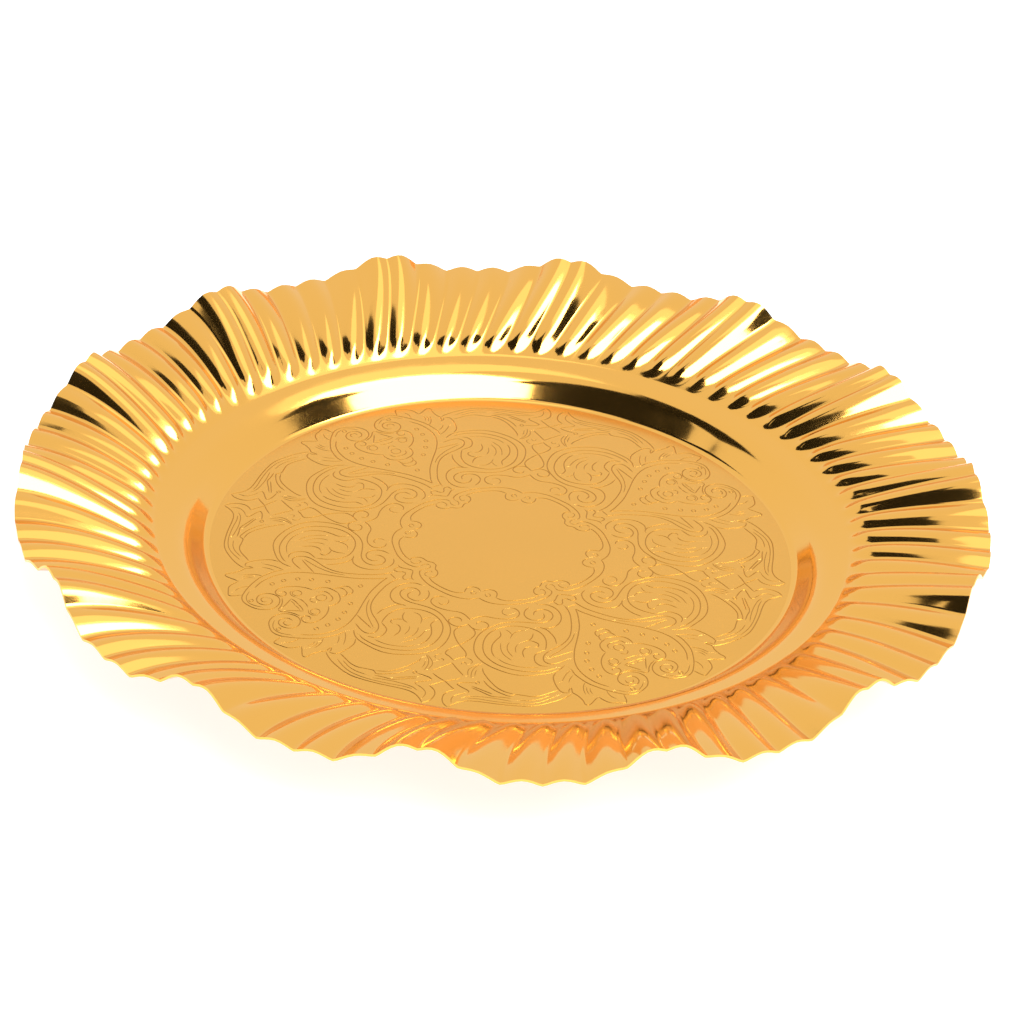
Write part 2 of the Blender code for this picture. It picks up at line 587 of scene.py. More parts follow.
@dataclass(frozen=True)
class Engraving:
    """The scrollwork of the floor, drawn for one eighth between the Y axis and the diagonal.

    Attributes:
        radius: The floor's radius in millimetres.
        outline_parts: How many parts the floor's edge has within one eighth.
        depth: How deep the broadest lines are cut, in millimetres.
        step: Spacing of the points along a line, in millimetres.
        plain_edge: Width of the uncut band at the floor's edge, in millimetres.
        mirror_gap: How near to a mirror line a point is moved onto it, in millimetres.
        darkened: Share of the depth from which a triangle takes the darker finish of the lines, which paints
            shade into them.
    """

    radius: float
    outline_parts: int
    depth: float = 0.085
    step: float = 0.95
    plain_edge: float = 0.01
    mirror_gap: float = 0.0001
    darkened: float = 0.1

    def cartouche(self) -> list[Stroke]:
        """The scalloped double border of the plain middle, with its curls.

        Returns:
            Its lines.
        """
        broad, fine = Line.BROAD, Line.FINE
        return [
            Stroke(broad, ((-0.3, 37.2), (1.2, 38.2), (3.4, 39.1), (6.3, 39.4), (9.7, 38.9), (12.6, 37.8),
                           (15.9, 36.2), (18.9, 34.4), (21.3, 32.2), (23.1, 30.0), (24.1, 27.8),
                           (24.2, 26.0), (23.4, 24.9))),
            Stroke(broad, ((5.7, 35.5), (8.0, 36.3), (10.5, 36.1), (13.4, 35.0), (16.3, 33.4), (18.7, 31.5),
                           (20.3, 29.4))),
            Stroke(broad, ((5.7, 35.7), (5.8, 34.0), (5.4, 32.3), (4.2, 31.2), (2.6, 31.1), (1.2, 31.8),
                           (0.4, 33.0))),
            Stroke(fine, ((1.5, 34.0), (1.9, 35.3), (3.0, 35.7), (3.6, 34.8), (3.0, 33.8), (2.1, 33.9))),
            Stroke(broad, ((20.3, 29.4), (19.0, 29.2), (18.0, 28.1), (17.7, 26.4), (18.2, 24.8),
                           (19.2, 23.7), (19.5, 22.2), (19.6, 21.0), (20.6, 20.0))),
            Stroke(fine, ((20.6, 29.2), (21.9, 28.5), (22.1, 27.2), (21.3, 25.8), (20.2, 25.4),
                          (19.8, 26.4))),
            Stroke(fine, ((23.4, 24.9), (22.0, 24.2), (21.3, 23.0), (21.7, 21.5))),
        ]

    def diagonal_leaf(self) -> list[Stroke]:
        """The small leaf between the cartouche and the tip of the heart.

        Returns:
            Its lines.
        """
        return [
            Stroke(Line.BROAD, ((24.9, 32.9), (26.0, 31.9), (26.4, 30.2), (26.5, 28.3), (26.9, 26.4))),
            Stroke(Line.BROAD, ((26.0, 32.1), (27.3, 33.1), (28.5, 33.4), (29.3, 31.9), (28.8, 30.2),
                                (29.1, 28.7))),
            Stroke(Line.BROAD, ((31.3, 34.1), (32.3, 33.1), (33.2, 32.2))),
        ]

    def heart(self) -> list[Stroke]:
        """The heart on the diagonal, with its double outline, spirals and dots.

        Returns:
            Its lines.
        """
        broad, fine = Line.BROAD, Line.FINE
        dots = ((46.8, 69.3), (44.3, 64.8), (43.3, 60.0), (42.7, 54.1), (42.2, 42.2), (50.0, 72.6),
                (62.4, 76.6))
        return [
            Stroke(broad, ((30.2, 33.4), (32.1, 36.1), (33.4, 38.9), (34.4, 42.4), (35.2, 46.0),
                           (35.7, 50.5), (35.3, 54.2), (33.9, 57.8), (31.5, 61.3), (29.8, 64.4),
                           (29.4, 67.0), (30.3, 69.4), (32.6, 70.2), (35.0, 68.8), (37.8, 65.6))),
            Stroke(broad, ((34.2, 34.0), (35.6, 37.0), (36.8, 40.8), (37.8, 44.8), (38.3, 49.0),
                           (38.6, 53.5), (38.8, 58.0), (39.2, 61.5), (40.1, 65.8), (41.8, 69.7),
                           (44.3, 72.8), (47.3, 75.2), (50.5, 76.8), (54.3, 77.7))),
            Stroke(fine, ((31.2, 66.2), (33.4, 62.6), (35.4, 58.8), (36.8, 54.0), (37.0, 49.5))),
            Stroke(broad, ((31.8, 66.8), (35.4, 63.5), (38.6, 60.4))),
            Stroke(broad, ((40.1, 71.2), (41.6, 73.6), (44.0, 75.7), (47.0, 77.7), (50.5, 79.0),
                           (54.0, 79.9), (58.0, 80.4), (61.3, 80.3), (64.0, 78.9), (65.8, 76.2),
                           (66.8, 73.2), (66.5, 70.4), (65.4, 68.3), (63.2, 66.9), (60.6, 66.7),
                           (58.1, 67.6), (56.6, 69.5), (56.3, 72.0), (57.2, 74.0), (59.2, 75.1),
                           (61.6, 74.8), (63.3, 73.4), (63.6, 71.3), (62.4, 69.6), (60.7, 69.3),
                           (59.2, 70.2))),
            Stroke(broad, ((58.9, 72.2), (59.7, 73.4), (61.0, 73.4), (61.9, 72.4), (61.4, 71.0))),
            Stroke(fine, ((57.0, 78.9), (60.9, 78.8), (63.8, 77.2), (65.0, 74.6), (65.2, 71.8))),
            Stroke(broad, ((57.6, 66.7), (60.3, 65.8), (62.8, 65.6), (64.7, 65.9), (66.0, 65.4))),
            *[ring(fine, dot, 0.8) for dot in dots],
        ]

    def shell(self) -> list[Stroke]:
        """The shell and the grapes inside the heart, which end in a scaled point.

        Returns:
            Its lines.
        """
        broad, fine = Line.BROAD, Line.FINE
        return [
            Stroke(broad, ((49.6, 57.8), (49.0, 60.5), (49.1, 63.8), (50.2, 67.0), (52.0, 69.3),
                           (54.4, 70.1), (56.1, 69.1), (56.7, 67.5), (55.8, 66.1), (54.3, 66.1),
                           (53.5, 67.2), (54.1, 68.0))),
            ring(fine, (53.2, 62.5), 1.7),
            Stroke(fine, ((51.4, 64.2), (53.2, 65.0), (55.0, 64.1), (55.9, 62.0))),
            Stroke(broad, ((57.2, 63.5), (60.0, 64.0), (63.4, 64.8))),
            Stroke(broad, ((57.2, 63.5), (58.3, 61.7), (60.3, 59.7))),
            Stroke(fine, ((58.6, 63.3), (59.6, 61.9), (61.2, 60.8))),
            Stroke(broad, ((56.5, 60.8), (57.0, 59.6), (58.5, 57.9))),
            Stroke(broad, ((50.3, 55.2), (49.4, 53.6), (49.9, 52.0), (51.2, 50.6))),
            Stroke(broad, ((54.4, 56.7), (55.6, 57.0), (57.0, 56.6))),
            ring(fine, (53.5, 53.5), 1.9),
            Stroke(broad, ((49.6, 57.8), (48.3, 56.8), (47.1, 55.0), (46.8, 52.9), (47.6, 50.6),
                           (48.9, 48.5))),
            Stroke(broad, ((46.9, 51.2), (45.7, 49.6), (45.6, 47.9), (46.8, 46.3))),
            Stroke(broad, ((45.4, 49.3), (44.0, 47.8), (43.9, 46.1), (45.1, 44.6))),
        ]

    def fringe(self) -> list[Stroke]:
        """The leaves outside the heart.

        Returns:
            Its lines.
        """
        broad, fine = Line.BROAD, Line.FINE
        return [
            Stroke(broad, ((35.3, 74.6), (35.0, 77.5), (35.8, 80.0), (37.0, 82.4), (38.6, 84.6),
                           (40.0, 85.4), (42.0, 85.1))),
            Stroke(broad, ((42.0, 85.1), (41.6, 83.6), (42.1, 82.0), (42.7, 83.6), (43.2, 84.7),
                           (45.1, 85.8), (47.3, 88.0), (48.5, 90.0), (49.8, 90.0), (50.6, 88.3),
                           (51.3, 86.0), (52.0, 84.4))),
            Stroke(broad, ((52.0, 84.4), (53.8, 85.7), (56.3, 86.6), (59.0, 86.0), (61.5, 85.1),
                           (61.3, 83.4), (60.5, 81.8), (60.0, 80.7))),
            Stroke(fine, ((38.4, 79.3), (38.6, 76.5), (39.1, 73.9), (40.1, 71.4))),
            Stroke(fine, ((40.7, 79.3), (40.7, 77.0), (41.3, 74.5))),
            Stroke(fine, ((47.5, 84.3), (46.4, 82.0), (45.9, 79.6), (46.1, 77.3))),
            Stroke(fine, ((48.7, 84.0), (47.5, 82.0), (47.1, 80.2))),
            Stroke(fine, ((49.8, 83.5), (48.6, 81.7), (48.3, 80.2))),
            Stroke(fine, ((58.0, 83.8), (56.0, 82.9), (54.6, 81.3), (53.9, 79.9))),
        ]

    def outer_band(self) -> list[Stroke]:
        """The long bands that end in pointed tips on both sides of the Y axis.

        Returns:
            Its lines.
        """
        broad, fine = Line.BROAD, Line.FINE
        return [
            Stroke(broad, ((4.4, 104.7), (5.6, 102.8), (7.6, 100.6), (10.3, 99.2), (14.0, 98.6),
                           (20.1, 98.2), (25.1, 97.6), (30.0, 96.6), (33.5, 95.0), (36.6, 92.7),
                           (39.7, 89.9), (42.0, 87.0), (42.9, 85.2))),
            Stroke(broad, ((4.4, 104.7), (2.6, 103.1), (1.6, 100.8), (1.5, 98.2), (2.5, 96.0),
                           (4.5, 94.3))),
            Stroke(fine, ((5.0, 102.0), (4.5, 99.8), (5.0, 97.9), (6.8, 96.1), (8.6, 95.1))),
            Stroke(fine, ((7.6, 98.2), (10.0, 96.6), (14.7, 95.6), (19.0, 95.3), (24.0, 95.4))),
            Stroke(fine, ((9.5, 97.8), (13.0, 97.2), (18.0, 97.1), (24.7, 96.5), (29.5, 95.3), (32.6, 93.8),
                          (35.3, 91.5), (38.2, 88.2))),
            Stroke(fine, ((26.5, 94.2), (30.0, 93.3), (33.0, 91.6), (36.0, 88.6))),
            Stroke(broad, ((9.6, 91.5), (13.0, 92.8), (17.2, 94.4), (20.5, 94.0), (23.7, 93.8))),
            Stroke(broad, ((9.5, 90.6), (13.5, 91.9), (17.3, 93.2))),
            Stroke(broad, ((4.5, 94.3), (2.8, 92.9), (0.9, 91.1), (-0.4, 90.0))),
            Stroke(broad, ((8.6, 95.1), (9.3, 94.2), (8.6, 93.3), (6.8, 92.4), (4.4, 90.9), (5.6, 89.7),
                           (7.8, 89.0), (10.0, 88.5))),
            ring(fine, (10.9, 88.2), 0.7),
            Stroke(broad, ((12.6, 86.3), (14.7, 88.8), (17.6, 90.9), (20.8, 92.2), (23.4, 92.7),
                           (24.5, 91.2), (27.5, 90.9), (30.5, 90.7), (33.4, 89.2), (36.3, 86.4),
                           (38.0, 84.8))),
            Stroke(broad, ((10.7, 79.2), (11.3, 81.2), (12.7, 83.4), (14.7, 85.9), (17.6, 88.8),
                           (20.5, 90.5), (23.9, 91.1))),
        ]

    def mid_line(self) -> list[Stroke]:
        """The lozenges, the almond and the curls that stand on the Y axis.

        Returns:
            Its lines.
        """
        broad, fine = Line.BROAD, Line.FINE
        return [
            Stroke(broad, ((-0.4, 90.6), (2.5, 88.9), (5.0, 87.0))),
            Stroke(broad, ((5.6, 85.6), (3.9, 83.8), (2.2, 81.9), (-0.3, 78.9))),
            Stroke(broad, ((-0.3, 77.8), (1.8, 75.7), (3.5, 74.4), (3.3, 72.3), (2.0, 70.3), (-0.3, 67.7))),
            Stroke(fine, ((3.3, 79.3), (3.2, 78.1), (4.4, 77.8), (5.0, 79.0))),
            Stroke(fine, ((4.5, 75.0), (5.9, 75.6), (6.6, 77.0), (5.9, 78.2))),
            Stroke(broad, ((-0.3, 68.4), (1.6, 65.6), (3.2, 62.4), (3.7, 60.0), (3.0, 57.9), (1.4, 56.2),
                           (-0.3, 54.4))),
            Stroke(broad, ((1.2, 56.0), (2.4, 56.9), (3.9, 57.1), (5.8, 56.4), (7.0, 54.9), (7.0, 53.2),
                           (5.7, 51.9), (4.0, 51.8), (2.8, 52.7), (2.8, 54.0))),
            Stroke(fine, ((7.0, 85.3), (6.3, 82.6), (6.6, 80.6), (7.6, 78.9), (9.0, 77.1))),
            Stroke(fine, ((8.2, 86.2), (7.7, 83.3), (7.8, 81.0), (8.5, 78.9), (9.7, 76.9))),
            Stroke(fine, ((9.2, 84.7), (8.9, 82.4), (9.1, 80.6))),
        ]

    def roundel(self) -> list[Stroke]:
        """The round acanthus leaf beside the Y axis.

        Returns:
            Its lines.
        """
        broad, fine = Line.BROAD, Line.FINE
        return [
            Stroke(broad, ((37.4, 69.5), (36.2, 72.6), (34.2, 75.0), (31.3, 76.9), (27.2, 78.9),
                           (23.8, 79.8), (19.7, 79.7), (14.7, 78.3), (10.5, 76.1), (7.3, 73.1), (5.5, 69.7),
                           (4.7, 65.3), (4.9, 60.8), (6.2, 57.0), (8.4, 53.8), (11.0, 50.9), (14.7, 48.8),
                           (18.8, 47.8), (22.8, 47.1), (25.6, 45.7), (27.4, 43.3), (27.5, 40.7),
                           (25.9, 38.5), (23.5, 37.9), (21.5, 39.1), (20.7, 41.0), (21.0, 42.6))),
            Stroke(broad, ((34.6, 72.0), (33.2, 73.6), (29.9, 75.6), (26.9, 76.7), (24.2, 77.2),
                           (20.1, 77.1), (15.9, 76.1), (12.6, 74.2), (10.0, 71.6), (8.4, 68.3), (7.6, 64.2),
                           (7.8, 60.0), (9.0, 56.6), (11.0, 53.9), (13.8, 51.9), (17.0, 50.9), (20.5, 50.8),
                           (23.8, 51.6), (26.4, 53.5), (28.2, 56.6), (29.0, 60.0), (29.2, 62.4))),
            Stroke(broad, ((29.2, 62.5), (27.8, 64.1), (26.5, 66.0), (26.5, 68.4), (27.5, 70.8),
                           (29.5, 72.1), (31.9, 71.9))),
            Stroke(broad, ((13.2, 71.6), (11.6, 68.8), (10.9, 64.8), (11.6, 61.2), (12.5, 58.5),
                           (11.6, 55.7))),
            Stroke(fine, ((19.3, 72.0), (16.0, 69.4), (14.3, 66.4), (13.4, 62.8))),
            Stroke(fine, ((19.3, 69.8), (16.9, 66.9), (16.0, 63.8), (16.3, 61.4))),
            Stroke(fine, ((19.8, 67.2), (19.0, 64.3), (19.3, 61.7))),
            Stroke(broad, ((23.1, 69.2), (21.9, 66.0), (22.4, 63.2), (24.0, 61.8))),
            Stroke(fine, ((14.7, 72.4), (17.0, 73.9), (20.5, 74.8), (24.7, 74.7), (28.9, 73.3))),
            Stroke(broad, ((20.6, 59.8), (22.3, 58.6), (23.2, 56.3), (23.1, 53.7))),
            Stroke(broad, ((22.5, 58.4), (24.3, 58.6), (26.2, 59.6), (26.3, 61.2), (25.3, 61.9))),
            Stroke(fine, ((16.0, 59.2), (16.3, 56.4), (17.8, 53.8), (20.0, 53.0))),
            Stroke(fine, ((16.2, 56.8), (14.9, 55.2), (13.4, 54.3))),
        ]

    def scrolls(self) -> list[Stroke]:
        """The curls between the roundel and the cartouche.

        Returns:
            Its lines.
        """
        broad, fine = Line.BROAD, Line.FINE
        return [
            Stroke(broad, ((32.2, 57.8), (31.0, 54.6), (29.1, 52.0), (26.9, 50.0), (24.7, 49.5),
                           (23.6, 49.9))),
            Stroke(broad, ((25.5, 49.4), (28.0, 48.8), (30.0, 46.5), (30.8, 43.5), (30.4, 40.4),
                           (28.9, 37.5), (26.6, 35.5), (23.8, 34.7), (21.3, 35.4))),
            Stroke(broad, ((18.5, 37.8), (17.5, 40.2), (17.6, 43.0), (19.1, 45.0), (21.5, 45.6),
                           (23.8, 44.6), (24.8, 42.6), (24.0, 40.4))),
            Stroke(broad, ((-0.3, 52.1), (1.2, 50.4), (2.8, 49.0), (5.0, 48.2), (8.4, 48.3), (11.7, 47.8),
                           (14.3, 46.6), (15.9, 44.5), (15.6, 42.1), (14.0, 40.5), (12.0, 40.4))),
            Stroke(fine, ((10.1, 41.5), (9.7, 43.2), (10.4, 44.8), (12.1, 45.3), (13.3, 44.1))),
        ]

    def strokes(self) -> list[Stroke]:
        """Every line of one eighth.

        Returns:
            All the lines.
        """
        return [
            *self.cartouche(),
            *self.diagonal_leaf(),
            *self.heart(),
            *self.shell(),
            *self.fringe(),
            *self.outer_band(),
            *self.mid_line(),
            *self.roundel(),
            *self.scrolls(),
        ]

    def groove_depth(self, points: np.ndarray, curves: list[np.ndarray]) -> np.ndarray:
        """How deep the floor is cut at each point: a V along every line, as deep as its width allows.

        Args:
            points: The points, in millimetres.
            curves: The lines' samples, each with x, y and half width.

        Returns:
            The depth at each point, in millimetres.
        """
        across_y = [curve * np.array([-1, 1, 1]) for curve in curves]
        across_diagonal = [curve[:, [1, 0, 2]] for curve in curves]
        widest = Line.BROAD.value / 2
        share = np.zeros(len(points))
        for curve in curves + across_y + across_diagonal:
            low, high = curve[:, :2].min(0) - widest, curve[:, :2].max(0) + widest
            near = np.where((points > low).all(1) & (points < high).all(1))[0]
            if not len(near):
                continue
            start, run = curve[:-1, :2], np.diff(curve[:, :2], axis=0)
            length = np.maximum((run**2).sum(1), 1e-12)
            off = points[near][:, None] - start[None]
            along = np.clip((off * run).sum(2) / length, 0, 1)
            gap = np.linalg.norm(off - along[..., None] * run[None], axis=2)
            half = curve[:-1, 2] + along * np.diff(curve[:, 2])
            inside = np.clip(1 - gap / half, 0, 1) * half / widest
            share[near] = np.maximum(share[near], inside.max(1))
        return share * self.depth

    def eighth(self) -> tuple[np.ndarray, list[tuple[int, int, int]], list[bool]]:
        """Triangulate one eighth of the floor, with an edge along both sides and the middle of every line.

        Returns:
            Vertices in metres, with the floor at height 0, triangles that face up, and which of those lie
            inside a line.
        """
        curves = [stroke.curve(self.step) for stroke in self.strokes()]
        points: list[Vector] = [Vector((0.0, 0.0))]
        edges: list[tuple[int, int]] = []
        for step in range(self.outline_parts + 1):
            angle = pi / 4 + pi / 4 * step / self.outline_parts
            points.append(Vector((self.radius * cos(angle), self.radius * sin(angle))))
        points[-1].x = 0.0
        outline = list(range(len(points)))
        edges += [(i, (i + 1) % len(outline)) for i in outline]
        for curve in curves:
            path, half = curve[:, :2], curve[:, 2:]
            heading = np.gradient(path, axis=0)
            heading /= np.linalg.norm(heading, axis=1, keepdims=True)
            side = np.column_stack([-heading[:, 1], heading[:, 0]]) * half
            for rail in (path - side, path, path + side):
                first = len(points)
                points += [Vector(p) for p in rail]
                edges += [(first + i, first + i + 1) for i in range(len(rail) - 1)]
        found, _, faces, *_ = delaunay_2d_cdt(points, edges, [], 0, 1e-5)
        flat = np.array([tuple(p) for p in found])
        flat[np.abs(flat[:, 0]) < self.mirror_gap, 0] = 0.0
        on_diagonal = np.abs(flat[:, 0] - flat[:, 1]) < self.mirror_gap
        flat[on_diagonal, 0] = flat[on_diagonal, 1]
        kept = []
        for face in faces:
            middle = flat[list(face)].mean(0)
            if middle[0] > 0 and middle[1] > middle[0] and hypot(*middle) < self.radius:
                kept.append(tuple(face))
        depth = self.groove_depth(flat, curves)
        depth[np.hypot(flat[:, 0], flat[:, 1]) > self.radius - self.plain_edge] = 0.0
        middles = flat[np.array(kept)].mean(1)
        inside = list(self.groove_depth(middles, curves) > self.darkened * self.depth)
        return np.column_stack([flat, -depth]) * MM, kept, inside

    def build(self, height: float, plain: PlatedBrass, cut: PlatedBrass) -> bpy.types.Object:
        """Make the whole engraved floor from eight copies of one eighth.

        Args:
            height: Height of the plain floor.
            plain: The floor's finish.
            cut: The darker finish inside the engraved lines, painted shade.

        Returns:
            The floor's upper face, open at its edge.
        """
        corner, faces, inside = self.eighth()
        used = sorted({i for face in faces for i in face})
        renumbered = {old: new for new, old in enumerate(used)}
        corner = corner[used] + (0, 0, height)
        faces = [tuple(renumbered[i] for i in face) for face in faces]
        vertices: list[tuple[float, float, float]] = []
        polygons: list[tuple[int, ...]] = []
        for quarter in range(EIGHTHS // 2):
            for mirrored in (False, True):
                x, y = (-corner[:, 0] if mirrored else corner[:, 0]), corner[:, 1]
                for _ in range(quarter):
                    x, y = -y, x
                first = len(vertices)
                vertices += list(zip(x, y, corner[:, 2]))
                polygons += [tuple(first + i for i in (face[::-1] if mirrored else face)) for face in faces]
        mesh = bpy.data.meshes.new("engraved_floor")
        mesh.from_pydata(vertices, [], polygons)
        mesh.materials.append(plain.make())
        mesh.materials.append(cut.make())
        # The faces inside the lines take the darker finish: painted shade in the grooves.
        mesh.polygons.foreach_set("material_index", np.array(inside * EIGHTHS, dtype=np.int32))
        floor = bpy.data.objects.new("engraved_floor", mesh)
        bpy.context.scene.collection.objects.link(floor)
        return floor


def select_only(*objects: bpy.types.Object) -> None:
    """Deselect everything else and make the first object active.

    Args:
        objects: What is selected.
    """
    bpy.ops.object.select_all(action="DESELECT")
    for obj in objects:
        obj.select_set(True)
    bpy.context.view_layer.objects.active = objects[0]


def triangle_count(obj: bpy.types.Object) -> int:
    """Count a mesh's triangles.

    Args:
        obj: The object that holds the mesh.

    Returns:
        How many there are once every face is split into triangles.
    """
    return sum(len(polygon.vertices) - 2 for polygon in obj.data.polygons)


@dataclass
class PressedSheet:
    """The tray itself: the engraved floor, the well, the shoulder and the pleated rim in one closed sheet.

    Attributes:
        shape: The shape of its upper face.
        columns_per_pleat: How finely each pleat is divided across.
        crowding: How much closer to the creases the columns lie, where 1 spaces them evenly.
        rim_rings: Rings from the pleats' inner ends to the cut edge.
        ring_growth: How much closer together the inner rings lie, where 1 spaces them evenly.
        rim_smooth: The sharpest angle in the rim and well that is shaded smooth.
        floor_smooth: The same in the engraved floor.
        underside_inset: Width of the ring of faces round the floor's underside.
    """

    shape: PressedShape
    columns_per_pleat: int = 8
    crowding: float = 1.25
    rim_rings: int = 26
    ring_growth: float = 1.5
    rim_smooth: float = radians(72)
    floor_smooth: float = radians(6)
    underside_inset: float = 0.004

    @property
    def columns(self) -> int:
        """How many columns go round the tray.

        Returns:
            Their number, which is a multiple of eight so that the floor's eighths meet them.
        """
        return self.shape.lobes * self.shape.pleats_per_lobe * self.columns_per_pleat

    def rim_shares(self) -> list[float]:
        """Place the rim's rings.

        Returns:
            Each ring's share of the way out.
        """
        return [(ring / self.rim_rings) ** self.ring_growth for ring in range(1, self.rim_rings + 1)]

    def turn_profile(self, profile: list[tuple[float, float]]) -> bpy.types.Object:
        """Spin the profile once round the Z axis.

        Args:
            profile: Radius and height of its points.

        Returns:
            The turned surface.
        """
        mesh = bpy.data.meshes.new("pressed_sheet")
        links = [(i, i + 1) for i in range(len(profile) - 1)]
        mesh.from_pydata([(radius, 0.0, height) for radius, height in profile], links, [])
        turned = bpy.data.objects.new("pressed_sheet", mesh)
        bpy.context.scene.collection.objects.link(turned)
        select_only(turned)
        bpy.ops.object.mode_set(mode="EDIT")
        bpy.ops.mesh.select_all(action="SELECT")
        bpy.ops.mesh.spin(steps=self.columns, angle=2 * pi, center=(0, 0, 0), axis=(0, 0, 1))
        bpy.ops.mesh.select_all(action="SELECT")
        bpy.ops.mesh.remove_doubles(threshold=CLOSED_TURN)
        bpy.ops.object.mode_set(mode="OBJECT")
        return turned

    def form(self, turned: bpy.types.Object, well: list[tuple[float, float]]) -> None:
        """Wave, pleat and sweep the part beyond the shoulder, and turn the well to meet it.

        Args:
            turned: The turned surface.
            well: Radius and height of the well's points.
        """
        shape, start = self.shape, well[-1]
        run = shape.rim_run(start[0])
        column = 2 * pi / self.columns
        whole_turn = shape.lobe_start + shape.sweep
        slip = round(whole_turn / column) * column - whole_turn
        pleat = column * self.columns_per_pleat
        work = bmesh.new()
        work.from_mesh(turned.data)
        for vertex in work.verts:
            radius, height = hypot(vertex.co.x, vertex.co.y), vertex.co.z
            even = round(atan2(vertex.co.y, vertex.co.x) / column) * column
            share = max(0.0, (radius - start[0]) / run)
            inner = max(0.0, 1 - (radius - shape.floor_radius) / (start[0] - shape.floor_radius))
            crest = (round(even / pleat - 0.5) + 0.5) * pleat
            off_crest = 2 * (even - crest) / pleat
            drawn_out = 1 - max(0.0, 1 - abs(off_crest)) ** self.crowding
            crowded = crest + copysign(drawn_out, off_crest) * pleat / 2
            angle = even * inner + crowded * (1 - inner)
            if share > BARELY:
                radius, height = shape.rim(share, angle, start)
            swept = shape.sweep * max(0.0, 1 - share) ** shape.sweep_power
            angle += shape.lobe_start + swept + slip * inner
            vertex.co = (radius * cos(angle), radius * sin(angle), shape.floor_top + height)
        bmesh.ops.recalc_face_normals(work, faces=work.faces)
        inner_face = min(work.faces, key=lambda face: face.calc_center_median().xy.length)
        if inner_face.normal.z < 0:
            bmesh.ops.reverse_faces(work, faces=work.faces)
        work.to_mesh(turned.data)
        work.free()

    def thicken(self, turned: bpy.types.Object) -> None:
        """Give the rim and well the sheet's thickness, and close the underside below the floor.

        Args:
            turned: The formed surface.
        """
        select_only(turned)
        wall = turned.modifiers.new("thickness", "SOLIDIFY")
        wall.thickness = self.shape.sheet
        wall.offset = -1
        bpy.ops.object.modifier_apply(modifier=wall.name)
        edge = self.shape.floor_radius + HAIR
        mesh = turned.data
        mesh.polygons.foreach_set("select", np.zeros(len(mesh.polygons), bool))
        mesh.vertices.foreach_set("select", np.zeros(len(mesh.vertices), bool))
        mesh.edges.foreach_set("select", np.zeros(len(mesh.edges), bool))
        for polygon in mesh.polygons:
            polygon.select = all(hypot(*mesh.vertices[i].co.xy) < edge for i in polygon.vertices)
        bpy.ops.object.mode_set(mode="EDIT")
        bpy.ops.mesh.select_mode(type="FACE")
        bpy.ops.mesh.delete(type="ONLY_FACE")
        bpy.ops.mesh.select_mode(type="VERT")
        bpy.ops.mesh.select_all(action="DESELECT")
        bpy.ops.object.mode_set(mode="OBJECT")
        below = self.shape.floor_top - self.shape.sheet / 2
        for vertex in mesh.vertices:
            vertex.select = hypot(*vertex.co.xy) < edge and vertex.co.z < below
        bpy.ops.object.mode_set(mode="EDIT")
        bpy.ops.mesh.edge_face_add()
        bpy.ops.mesh.select_mode(type="FACE")
        bpy.ops.mesh.inset(thickness=self.underside_inset)
        bpy.ops.object.mode_set(mode="OBJECT")

    def build(self) -> bpy.types.Object:
        """Build, dress and place the sheet.

        Returns:
            The finished piece.
        """
        well = self.shape.well()
        start_radius, start_height = well[-1]
        run = self.shape.rim_run(start_radius)
        profile = well + [(start_radius + run * share, start_height) for share in self.rim_shares()]
        sheet = self.turn_profile(profile)
        self.form(sheet, well)
        self.thicken(sheet)
        select_only(sheet)
        bpy.ops.object.shade_smooth_by_angle(angle=self.rim_smooth)
        engraving = Engraving(radius=self.shape.floor_radius / MM, outline_parts=self.columns // EIGHTHS)
        floor = engraving.build(self.shape.floor_top, FLOOR_BRASS, GROOVE_BRASS)
        select_only(floor)
        bpy.ops.object.shade_smooth_by_angle(angle=self.floor_smooth)
        sheet.data.materials.append(RIM_BRASS.make())
        select_only(sheet, floor)
        bpy.ops.object.join()
        bpy.ops.object.mode_set(mode="EDIT")
        bpy.ops.mesh.select_all(action="SELECT")
        bpy.ops.mesh.remove_doubles(threshold=JOINED_EDGE)
        bpy.ops.mesh.select_all(action="DESELECT")
        bpy.ops.object.mode_set(mode="OBJECT")
        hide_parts("tray_body")
        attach(sheet, "root")
        LOG.info("pressed_sheet: %d triangles", triangle_count(sheet))
        return sheet


@dataclass
class FootPads:
    """The four rubber pads under the floor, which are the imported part's own.

    Attributes:
        finish: What they are made of.
        count: How many pads there are.
    """

    finish: MouldedRubber
    count: int = 4

    def dress(self) -> None:
        """Give every pad its rubber."""
        rubber = self.finish.make()
        for number in range(1, self.count + 1):
            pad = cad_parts[f"foot_pad_{number}"]
            pad.data.materials.clear()
            pad.data.materials.append(rubber)
            LOG.info("%s: %d triangles", pad.name, triangle_count(pad))


@dataclass(frozen=True)
class Softbox:
    """A soft studio lamp that looks at the tray.

    Attributes:
        name: Its name.
        azimuth: Direction it stands in, in degrees from the X axis towards the Y axis.
        elevation: Its height above the table, in degrees.
        distance: How far it stands from the tray.
        size: Width and height of its face.
        power: Its power in watts.
        tint: The colour of its light.
    """

    name: str
    azimuth: float
    elevation: float
    distance: float
    size: tuple[float, float]
    power: float
    tint: str = "FFFFFF"

    def place(self) -> bpy.types.Object:
        """Add the lamp.

        Returns:
            The lamp.
        """
        lamp = bpy.data.lights.new(self.name, "AREA")
        lamp.shape = "RECTANGLE"
        lamp.size, lamp.size_y = self.size
        lamp.energy = self.power
        lamp.color = linear(self.tint)[:3]
        holder = bpy.data.objects.new(self.name, lamp)
        bpy.context.scene.collection.objects.link(holder)
        holder.matrix_world = facing_tray(self.azimuth, self.elevation, self.distance)
        holder.visible_camera = False
        return holder


